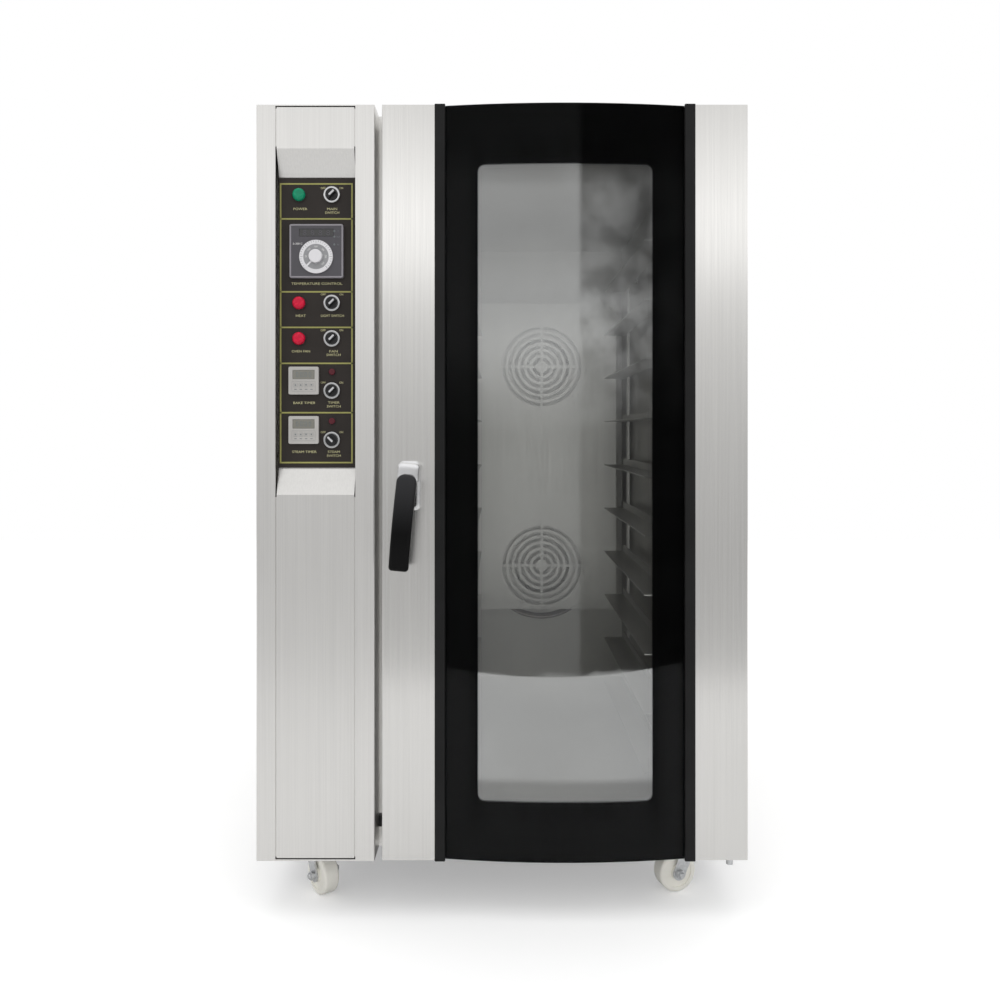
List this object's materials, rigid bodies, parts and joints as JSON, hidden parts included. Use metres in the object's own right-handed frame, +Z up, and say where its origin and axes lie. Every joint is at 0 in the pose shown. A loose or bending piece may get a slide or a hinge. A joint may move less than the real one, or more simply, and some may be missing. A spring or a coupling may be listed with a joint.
{
  "type": "convection oven",
  "caption": "Tall convection oven on swivel casters: control column with dial and switches, curved glass door with lever latch, tray racks, rear fans and heaters.",
  "frame": {"origin": "on the floor, under the middle of the whole oven with its handle and flue", "axes": "+Z up, +Y from the door to the rear panel, +X to the right seen from the front"},
  "size_m": [0.88, 1.3035, 1.458],
  "materials": {
    "casing_steel": "brushed",
    "cavity_steel": "satin",
    "zinc_plate": "zinc plated",
    "wheel_plastic": "satin",
    "black_plastic": "satin",
    "frame_paint": "satin",
    "motor_paint": "painted",
    "heater_sheath": "heat tinted",
    "mineral_wool": "fibrous",
    "lamp_glass": "clear",
    "brass_fitting": "machined",
    "grey_plastic": "satin",
    "panel_black": "satin",
    "chrome_ring": "polished",
    "controller_grey": "satin",
    "dial_white": "satin",
    "timer_grey": "satin",
    "lamp_green": "clear tinted",
    "lamp_red": "clear tinted",
    "lamp_dark_red": "clear tinted",
    "trim_black": "satin",
    "door_glass": "clear",
    "border_enamel": "enamel",
    "seal_rubber": "matte"
  },
  "bodies": {
    "cabinet": {"base_frame": "frame_paint", "cable_gland": "black_plastic", "caster_plates": "zinc_plate", "cavity_lamp": "lamp_glass", "cavity_liner": "cavity_steel", "column_casing": "casing_steel", "column_cover": "casing_steel", "control_plate": "panel_black", "door_hinges": "zinc_plate", "door_switch": "black_plastic", "exhaust_flue": "cavity_steel", "fan_baffle": "cavity_steel", "fan_motors": "motor_paint", "front_fascia": "casing_steel", "heating_elements": "heater_sheath", "inner_partition": "zinc_plate", "insulation": "mineral_wool", "latch_keeper": "zinc_plate", "left_side_panel": "casing_steel", "power_lamp": "lamp_green", "rear_panel": "casing_steel", "red_lamps": "lamp_red", "right_side_panel": "casing_steel", "selector_bodies": "chrome_ring", "steam_supply": "brass_fitting", "switchgear": "grey_plastic", "temperature_controller": "controller_grey", "timer_lamps": "lamp_dark_red", "timers": "timer_grey", "top_panel": "casing_steel", "tray_racks": "cavity_steel"},
    "door": {"door_pan": "casing_steel", "door_stiles": "casing_steel", "glass_trims": "trim_black", "outer_glass": "door_glass", "glass_border": "border_enamel", "inner_glass": "door_glass", "inner_glass_frame": "cavity_steel", "door_seal": "seal_rubber", "hinge_bushes": "brass_fitting", "handle_base": "chrome_ring"},
    "handle": {"handle_lever": "chrome_ring", "handle_grip": "black_plastic"},
    "temperature_dial": {"temperature_dial": "dial_white"},
    "switch_plunger": {"switch_plunger": "grey_plastic"},
    "upper_fan": {"upper_impeller": "cavity_steel"},
    "lower_fan": {"lower_impeller": "cavity_steel"},
    "power_knob": {"power_knob": "black_plastic"},
    "light_knob": {"light_knob": "black_plastic"},
    "fan_knob": {"fan_knob": "black_plastic"},
    "bake_timer_knob": {"bake_timer_knob": "black_plastic"},
    "steam_timer_knob": {"steam_timer_knob": "black_plastic"},
    "front_left_caster": {"front_left_fork": "zinc_plate"},
    "front_left_wheel": {"front_left_wheel": "wheel_plastic"},
    "front_right_caster": {"front_right_fork": "zinc_plate"},
    "front_right_wheel": {"front_right_wheel": "wheel_plastic"},
    "rear_left_caster": {"rear_left_fork": "zinc_plate"},
    "rear_left_wheel": {"rear_left_wheel": "wheel_plastic"},
    "rear_right_caster": {"rear_right_fork": "zinc_plate"},
    "rear_right_wheel": {"rear_right_wheel": "wheel_plastic"}
  },
  "joints": [
    {"name": "door_swing", "type": "hinge", "parent": "cabinet", "child": "door", "pos_m": [0.413, -0.56575, 0.78225], "axis": [0, 0, 1], "range_deg": [0, 115]},
    {"name": "handle_turn", "type": "hinge", "parent": "door", "child": "handle", "pos_m": [-0.165, -0.58975, 0.799], "axis": [0, 1, 0], "range_deg": [-14, 80]},
    {"name": "dial_turn", "type": "hinge", "parent": "cabinet", "child": "temperature_dial", "pos_m": [-0.334, -0.57295, 1.1876], "axis": [0, 1, 0], "range_deg": [0, 270]},
    {"name": "plunger_press", "type": "slide", "parent": "cabinet", "child": "switch_plunger", "axis": [0, 1, 0], "range_m": [0, 0.0014], "stiffness_N_per_m": 300},
    {"name": "upper_fan_spin", "type": "hinge", "parent": "cabinet", "child": "upper_fan", "pos_m": [0.1125, 0.32775, 1.05], "axis": [0, 1, 0], "continuous": true},
    {"name": "lower_fan_spin", "type": "hinge", "parent": "cabinet", "child": "lower_fan", "pos_m": [0.1125, 0.32775, 0.51], "axis": [0, 1, 0], "continuous": true},
    {"name": "power_turn", "type": "hinge", "parent": "cabinet", "child": "power_knob", "pos_m": [-0.307, -0.57295, 1.3007], "axis": [0, 1, 0], "range_deg": [-90, 0]},
    {"name": "light_turn", "type": "hinge", "parent": "cabinet", "child": "light_knob", "pos_m": [-0.307, -0.57295, 1.1052], "axis": [0, 1, 0], "range_deg": [-90, 0]},
    {"name": "fan_turn", "type": "hinge", "parent": "cabinet", "child": "fan_knob", "pos_m": [-0.307, -0.57295, 1.0412], "axis": [0, 1, 0], "range_deg": [-90, 0]},
    {"name": "bake_timer_turn", "type": "hinge", "parent": "cabinet", "child": "bake_timer_knob", "pos_m": [-0.307, -0.57295, 0.9472], "axis": [0, 1, 0], "range_deg": [-90, 0]},
    {"name": "steam_timer_turn", "type": "hinge", "parent": "cabinet", "child": "steam_timer_knob", "pos_m": [-0.307, -0.57295, 0.8582], "axis": [0, 1, 0], "range_deg": [0, 90]},
    {"name": "front_left_swivel", "type": "hinge", "parent": "cabinet", "child": "front_left_caster", "pos_m": [-0.354, -0.47175, 0.0947], "axis": [0, 0, 1], "continuous": true},
    {"name": "front_left_roll", "type": "hinge", "parent": "front_left_caster", "child": "front_left_wheel", "pos_m": [-0.33861, -0.49145, 0.0375], "axis": [0.788, 0.6157, 0], "continuous": true},
    {"name": "front_right_swivel", "type": "hinge", "parent": "cabinet", "child": "front_right_caster", "pos_m": [0.354, -0.47175, 0.0947], "axis": [0, 0, 1], "continuous": true},
    {"name": "front_right_roll", "type": "hinge", "parent": "front_right_caster", "child": "front_right_wheel", "pos_m": [0.33022, -0.47947, 0.0375], "axis": [0.309, -0.9511, 0], "continuous": true},
    {"name": "rear_left_swivel", "type": "hinge", "parent": "cabinet", "child": "rear_left_caster", "pos_m": [-0.354, 0.55225, 0.0947], "axis": [0, 0, 1], "continuous": true},
    {"name": "rear_left_roll", "type": "hinge", "parent": "rear_left_caster", "child": "rear_left_wheel", "pos_m": [-0.34545, 0.57574, 0.0375], "axis": [-0.9397, 0.342, 0], "continuous": true},
    {"name": "rear_right_swivel", "type": "hinge", "parent": "cabinet", "child": "rear_right_caster", "pos_m": [0.354, 0.55225, 0.0947], "axis": [0, 0, 1], "continuous": true},
    {"name": "rear_right_roll", "type": "hinge", "parent": "rear_right_caster", "child": "rear_right_wheel", "pos_m": [0.34753, 0.5764, 0.0375], "axis": [-0.9659, -0.2588, 0], "continuous": true}
  ]
}
